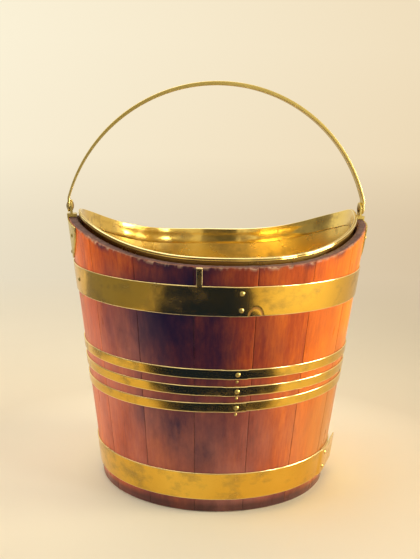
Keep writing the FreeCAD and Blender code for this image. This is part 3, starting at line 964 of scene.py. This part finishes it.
def wood(name):
    """Old polished mahogany."""
    shader = new_material(name)
    colour, fine, pores = wood_figure(shader)
    tone = shader.mark("tone")
    colour = shader.mix(shader.spread(tone, 0.5, 1, 0, TONE_STRENGTH), colour, WOOD_LIGHT)
    colour = shader.mix(shader.spread(tone, 0.5, 0, 0, TONE_STRENGTH), colour, WOOD_DARK)
    cloud = shader.grain(shader.place(CLOUD_STRETCH, tone), *CLOUDS)
    colour = shader.mix(shader.spread(cloud, 0.5, 0.75, 0, 0.5), colour, WOOD_STAIN)
    soft = shader.grain(shader.place(SOFT_STRETCH, tone), *SOFT)
    colour = wood_patches(shader, colour, soft)
    colour = wood_dirt(shader, colour, soft)
    ragged = shader.grain(shader.place(RAGGED_STRETCH), *RAGGED)
    worn = shader.maths("MULTIPLY", shader.mark("worn"), shader.spread(ragged, 0.38, 0.55))
    colour = shader.mix(worn, colour, WOOD_RAW)
    seam = shader.maths("MULTIPLY", shader.mark("seam"), shader.spread(ragged, 0.4, 0.6, 0.3, 0.9))
    shader.set("Base Color", shader.mix(seam, colour, SEAM_DARK))
    dull = shader.grain(shader.place(DULL_STRETCH), *DULL)
    dull = shader.spread(dull, 0.3, 0.75, 0.24, 0.48)
    shader.set("Roughness", shader.maths("ADD", dull, shader.maths("MULTIPLY", worn, 0.4)))
    shader.set("Specular IOR Level", 0.06)
    shader.set("Coat Weight", 0.18)
    shader.set("Coat Roughness", 0.16)
    shader.bump(shader.weigh(fine, 0.6, pores, 0.4), PORE_DEPTH, 0.6)
    return shader.owner


def bare_wood(name):
    """Worn rim, inside faces and foot of the staves: dry wood, dark with handling."""
    shader = new_material(name)
    colour, fine, _ = wood_figure(shader)
    dirt = shader.grain(shader.place(), *DRY_DIRT)
    colour = shader.mix(shader.spread(shader.mark("stain"), 0, 0.8, 0.15, 0.9), colour, WOOD_GRIME)
    raw = shader.maths("MULTIPLY", shader.mark("worn"), shader.spread(dirt, 0.40, 0.52))
    colour = shader.mix(raw, colour, WOOD_RAW)
    shader.set("Base Color", shader.mix(shader.spread(dirt, 0.55, 0.75, 0, 0.7), colour, WOOD_STAIN))
    shader.set("Roughness", shader.spread(dirt, 0.3, 0.7, 0.55, 0.8))
    shader.bump(shader.weigh(dirt, 0.7, fine, 0.3), DRY_DEPTH, 0.8)
    return shader.owner


# Brass: bright, warm and tarnished tones of each kind, and colours of spots, rubbed edges and rust
HOOP_TONES = ((0.83, 0.52, 0.080), (0.75, 0.44, 0.058), (0.36, 0.25, 0.075))
LINER_TONES = ((0.86, 0.63, 0.18), (0.70, 0.48, 0.12), (0.25, 0.18, 0.08))
BAIL_TONES = ((0.69, 0.54, 0.18), (0.55, 0.42, 0.12), (0.33, 0.25, 0.08))
EAR_TONES = ((0.40, 0.28, 0.11), (0.27, 0.18, 0.07), (0.10, 0.07, 0.04))
BRASS_SPOT = (0.115, 0.065, 0.028)
BRASS_EDGE = (0.96, 0.83, 0.46)
BRASS_RUST = (0.24, 0.075, 0.035)
CLOUD_SCALE = 9
TARNISH_SCALE = 24
TARNISH_STRETCH = (1, 1, 1.4)
SPECK_SCALE = 300
DENT_SCALE = 42
DENT_STRETCH = (1, 1, 1.5)
DENT_DEPTH = 0.4 * MM
CLOUD_ROUGHNESS = 0.12
TARNISH_ROUGHNESS = 0.22


def brass(name, tones, tarnish, roughness, fineness):
    """Old brass: polished and warm ground, olive tarnish, small spots, bright rubbed edges, shallow dents."""
    shader = new_material(name)
    bright, warm, olive = tones
    cloud = shader.grain(shader.place(), CLOUD_SCALE * fineness, 5, 0.55)
    patches = shader.grain(shader.place(TARNISH_STRETCH), TARNISH_SCALE * fineness, 5, 0.6)
    specks = shader.grain(shader.place(), SPECK_SCALE, 3, 0.6)
    dents = shader.grain(shader.place(DENT_STRETCH), DENT_SCALE, 1, 0.4)
    colour = shader.mix(shader.spread(cloud, 0.36, 0.66), bright, warm)
    dull = shader.maths("MULTIPLY", shader.spread(patches, 0.50, 0.76), tarnish)
    colour = shader.mix(dull, colour, olive)
    colour = shader.mix(shader.spread(specks, 0.70, 0.80, 0, 0.7 * tarnish), colour, BRASS_SPOT)
    colour = shader.mix(shader.maths("MULTIPLY", shader.mark("edge"), 0.8), colour, BRASS_EDGE)
    stain = shader.mark("stain")
    shader.set("Base Color", shader.mix(shader.maths("MULTIPLY", stain, 0.9), colour, BRASS_RUST))
    shader.set("Metallic", shader.spread(stain, 0, 1, 1, 0.1))
    rough = shader.spread(cloud, 0.3, 0.7, roughness, roughness + CLOUD_ROUGHNESS)
    shader.set("Roughness", shader.maths("ADD", rough, shader.maths("MULTIPLY", dull, TARNISH_ROUGHNESS)))
    shader.bump(dents, DENT_DEPTH, 0.5)
    return shader.owner


# CAD nodes that stay
WELD_REACH = 0.01 * MM
BEVEL_SEGMENTS = 2
BEVEL_ANGLE = math.radians(40)
RIVET_NODES = ("top_hoop_rivets", "narrow_hoop_rivets", "bottom_hoop_rivets", "hoop_nails",
               "ear_rivets_left", "ear_rivets_right")


def finish_node(name, material, rounding):
    """A CAD node that stays: given its finish, and where it has a rounding, welded and its edges softened."""
    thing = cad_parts[name]
    thing.data.materials.clear()
    thing.data.materials.append(material)
    if rounding:
        weld = thing.modifiers.new("weld", "WELD")
        weld.merge_threshold = WELD_REACH
        bevel = thing.modifiers.new("soft_edges", "BEVEL")
        bevel.width = rounding
        bevel.segments = BEVEL_SEGMENTS
        bevel.limit_method = "ANGLE"
        bevel.angle_limit = BEVEL_ANGLE
        bevel.harden_normals = True


def build_bucket():
    """All pieces of the bucket."""
    mahogany = wood("mahogany_polished")
    dry_wood = bare_wood("mahogany_dry")
    hoop_brass = brass("brass_hoop", HOOP_TONES, tarnish=0.9, roughness=0.10, fineness=1.4)
    sheet_brass = brass("brass_liner", LINER_TONES, tarnish=0.9, roughness=0.2, fineness=0.8)
    collar_brass = brass("brass_collar", LINER_TONES, tarnish=1.0, roughness=0.07, fineness=1.3)
    handle_brass = brass("brass_handle", BAIL_TONES, tarnish=0.35, roughness=0.3, fineness=1.6)
    pivot_brass = brass("brass_pivot", EAR_TONES, tarnish=0.9, roughness=0.32, fineness=1.6)
    rivet_brass = brass("brass_rivet", BAIL_TONES, tarnish=0.8, roughness=0.25, fineness=2.0)
    build_staves([mahogany, dry_wood])
    finish_node("bottom_board", dry_wood, BOARD_SOFT)
    build_hoops(hoop_brass)
    build_liner(sheet_brass, collar_brass)
    build_bail(handle_brass)
    for name in RIVET_NODES:
        finish_node(name, rivet_brass, 0)
    for side in ("left", "right"):
        finish_node("pivot_" + side, pivot_brass, 0)
        finish_node("ear_" + side, handle_brass, EAR_SOFT)


# Stage: a paper floor that bends up into a backdrop
STAGE_REACH = 14.0
STAGE_START = 1.25
STAGE_BEND = 0.9
STAGE_TOP = 3.5
BEND_STEPS = 18

# Paper near the bucket, as lit: its ground, painted shade behind on the right, and a painted pool of light
# round the foot
PAPER_GROUND = ((0.78, 0.715, 0.575), (0.80, 0.735, 0.595))
PAPER_PAINTED_SHADE = (0.60, 0.54, 0.43)
PAPER_LIGHT_POOL = (0.93, 0.89, 0.73)
BEHIND_ACROSS = (0.05, 0.5)
BEHIND_DEEP = (-0.25, 0.2)
FOOT_REACH = (0.36, 0.17)

# Paper further out glows in painted light and shade: darker low down and brighter up the backdrop, lighter at
# the left and shaded at the right, its colour in front, and where it ends
FAR_RISE = 1.1
FAR_SHADE_STOPS = ((0.0, (0.655, 0.52, 0.345)), (0.10, (0.72, 0.58, 0.39)),
             (0.26, (0.92, 0.77, 0.53)), (0.6, (0.97, 0.84, 0.60)))
FAR_SIDE = 0.9
FAR_LEFT_LIGHT = (1.0, 0.97, 0.80)
FAR_RIGHT_SHADE = (0.72, 0.56, 0.36)
FAR_FRONT = (0.86, 0.75, 0.54)
FAR_FRONT_END = (-0.6, 0.5)
FAR_END = (4, 11)
FAR_FROM_BACK = (0.35, 1.25)
FAR_FROM_MIDDLE = (0.8, 1.5)
WORLD_SEEN = (0.93, 0.81, 0.58)
WORLD_LIGHT = (0.95, 0.87, 0.72)
WORLD_STRENGTH = 0.17


def painted_far_paper(shader, axes, distance):
    """Painted light and shade of the paper far out, shown as a glow."""
    far = shader.ramp(shader.spread(axes["Z"], 0, FAR_RISE), FAR_SHADE_STOPS)
    left = shader.mix(0.6, far, FAR_LEFT_LIGHT)
    right = shader.mix(0.35, far, FAR_RIGHT_SHADE)
    far = shader.mix(shader.spread(axes["X"], -FAR_SIDE, FAR_SIDE), left, right)
    far = shader.mix(shader.spread(axes["Y"], *FAR_FRONT_END), FAR_FRONT, far)
    return shader.mix(shader.spread(distance, *FAR_END), far, WORLD_SEEN)


def near_paper(shader, axes, distance):
    """Colour of the paper that takes the bucket's shadow, with painted shade behind on the right and a
    painted pool of light round the foot.
    """
    ground = shader.mix(shader.spread(shader.grain(shader.place(), 5, 3), 0.3, 0.7), *PAPER_GROUND)
    # Painted shade on the floor behind the bucket, to the right
    behind = shader.maths("MULTIPLY", shader.spread(axes["X"], *BEHIND_ACROSS),
                          shader.spread(axes["Y"], *BEHIND_DEEP))
    ground = shader.mix(behind, ground, PAPER_PAINTED_SHADE)
    # Painted pool of light round the foot, which lifts the bucket's shadow
    return shader.mix(shader.spread(distance, *FOOT_REACH), ground, PAPER_LIGHT_POOL)


def stage_material(name):
    """Pale paper; far out it glows in painted light and shade for the camera and reflections, so the light
    there stays even.
    """
    shader = new_material(name)
    axes = shader.axes()
    length = shader.node("ShaderNodeVectorMath", operation="LENGTH")
    shader.link(shader.place(), length.inputs[0])
    distance = length.outputs["Value"]
    shader.set("Base Color", near_paper(shader, axes, distance))
    shader.set("Roughness", 0.8)
    shader.set("Specular IOR Level", 0.2)
    glow = shader.node("ShaderNodeEmission")
    shader.link(painted_far_paper(shader, axes, distance), glow.inputs["Color"])
    out = shader.maths("MAXIMUM", shader.spread(axes["Y"], *FAR_FROM_BACK),
                       shader.spread(distance, *FAR_FROM_MIDDLE))
    shader.end(shader.maths("MULTIPLY", out, shader.seen()), shader.surface, glow)
    return shader.owner


def build_stage():
    """Floor that bends up into a backdrop."""
    profile = [(-STAGE_REACH, 0.0), (0.0, 0.0)]
    for step in range(BEND_STEPS + 1):
        turn = math.radians(90 / BEND_STEPS * step)
        profile.append((STAGE_START + STAGE_BEND * math.sin(turn), STAGE_BEND - STAGE_BEND * math.cos(turn)))
    profile.append((STAGE_START + STAGE_BEND, STAGE_TOP))
    bm = bmesh.new()
    rows = [[bm.verts.new((x, y, z)) for y, z in profile] for x in (-STAGE_REACH, STAGE_REACH)]
    for step in range(len(profile) - 1):
        bm.faces.new((rows[0][step], rows[1][step], rows[1][step + 1], rows[0][step + 1]))
    floor = new_object(bm, "stage_floor")
    floor.data.materials.append(stage_material("stage_paper"))


# Cards that only reflections see: the photograph's dark room in front, and its grey left side
CARD_TURN = Matrix.Rotation(math.radians(-6), 3, "Z")
CARD_LIFT = 0.002
CARD_FRONT = -1.6
CARD_LEFT = -1.3
CARDS = (("card_floor", (0.012, 0.024, 0.13),
          [(x, y, CARD_LIFT) for x, y in ((-0.42, -0.265), (0.31, -0.265), (0.27, -1.6), (-0.55, -1.6))]),
         ("card_room", (0.11, 0.10, 0.09),
          [(x, CARD_FRONT, z) for x, z in ((-0.6, 0.25), (0.4, 0.25), (0.4, 0.75), (-0.6, 0.75))]),
         ("card_side", (0.29, 0.28, 0.28),
          [(x, y, CARD_LIFT) for x, y in ((-0.5, 0.45), (-0.46, -1.2), (-1.2, -1.2), (-1.2, 0.45))]),
         ("card_left", (0.34, 0.30, 0.23),
          [(CARD_LEFT, y, z) for y, z in ((-1.5, 0), (0.9, 0), (0.9, 0.9), (-1.5, 0.9))]))


def build_card(name, colour, corners):
    """A card of one even colour, which only shows in reflections."""
    bm = bmesh.new()
    bm.faces.new([bm.verts.new(CARD_TURN @ Vector(corner)) for corner in corners])
    card = new_object(bm, name)
    shader = new_material(name)
    shader.set("Base Color", (0, 0, 0, 1))
    shader.set("Specular IOR Level", 0)
    shader.set("Emission Color", (*colour, 1))
    shader.set("Emission Strength", 1)
    card.data.materials.append(shader.owner)
    card.visible_camera = False
    card.visible_diffuse = False
    card.visible_shadow = False
    card.visible_transmission = False


# Lamps: name, place, size, power in watts, colour, and whether the brass mirrors it
LAMP_AIM = Vector((0, 0, 0.2))
LAMPS = (("key_right", spot(2.3, 79, 0.48), (1.1, 0.8), 70, (1.0, 0.85, 0.60), True),
         ("fill_left", spot(1.9, -88, 0.45), (1.8, 1.0), 38, (1.0, 0.93, 0.83), False),
         ("glint_right", spot(1.5, 49, 0.46), (0.3, 0.34), 7, (1.0, 0.95, 0.82), True),
         ("top_soft", Vector((-0.3, 0.5, 2.0)), (2.0, 2.0), 24, (1.0, 0.95, 0.86), True))


def build_lamp(name, place, size, power, colour, mirrored):
    """Soft rectangular lamp, turned to the bucket's middle."""
    light = bpy.data.lights.new(name, "AREA")
    light.shape = "RECTANGLE"
    light.size, light.size_y = size
    light.energy = power
    light.color = colour
    thing = bpy.data.objects.new(name, light)
    thing.visible_glossy = mirrored
    thing.location = place
    thing.rotation_euler = (LAMP_AIM - place).to_track_quat("-Z", "Y").to_euler()
    bpy.context.scene.collection.objects.link(thing)


def build_world():
    """Weak light from all round; the camera and the brass see the paper's far colour instead."""
    world = bpy.data.worlds.new("studio")
    bpy.context.scene.world = world
    shader = Shader(world)
    light = shader.tree.nodes["Background"]
    light.inputs["Color"].default_value = (*WORLD_LIGHT, 1)
    light.inputs["Strength"].default_value = WORLD_STRENGTH
    backdrop = shader.node("ShaderNodeBackground")
    backdrop.inputs["Color"].default_value = (*WORLD_SEEN, 1)
    shader.end(shader.seen(), light, backdrop)


# Camera, fitted to the photograph
CAMERA_PLACE = Vector((-0.1176, -1.0457, 0.4369))
CAMERA_AHEAD = Vector((0.1027, 0.9769, -0.1874))
CAMERA_ROLL = math.radians(1.2)
FOCAL_PIXELS = 888.6
FRAME_PIXELS = 559
SENSOR_HEIGHT = 36


def build_camera():
    """The photograph's viewpoint, for a frame of 420 by 559."""
    ahead = CAMERA_AHEAD.normalized()
    right = ahead.cross(Vector((0, 0, 1))).normalized()
    turn = Matrix((right, right.cross(ahead), -ahead)).transposed()
    turn = turn @ Matrix.Rotation(CAMERA_ROLL, 3, "Z")
    camera = bpy.data.cameras.new("camera")
    camera.sensor_fit = "VERTICAL"
    camera.sensor_height = SENSOR_HEIGHT
    camera.lens = FOCAL_PIXELS / FRAME_PIXELS * SENSOR_HEIGHT
    thing = bpy.data.objects.new("camera", camera)
    thing.matrix_world = Matrix.Translation(CAMERA_PLACE) @ turn.to_4x4()
    bpy.context.scene.collection.objects.link(thing)
    bpy.context.scene.camera = thing


build_bucket()
build_stage()
for card_facts in CARDS:
    build_card(*card_facts)
for lamp_facts in LAMPS:
    build_lamp(*lamp_facts)
build_world()
build_camera()
bpy.context.scene.view_settings.view_transform = "Standard"
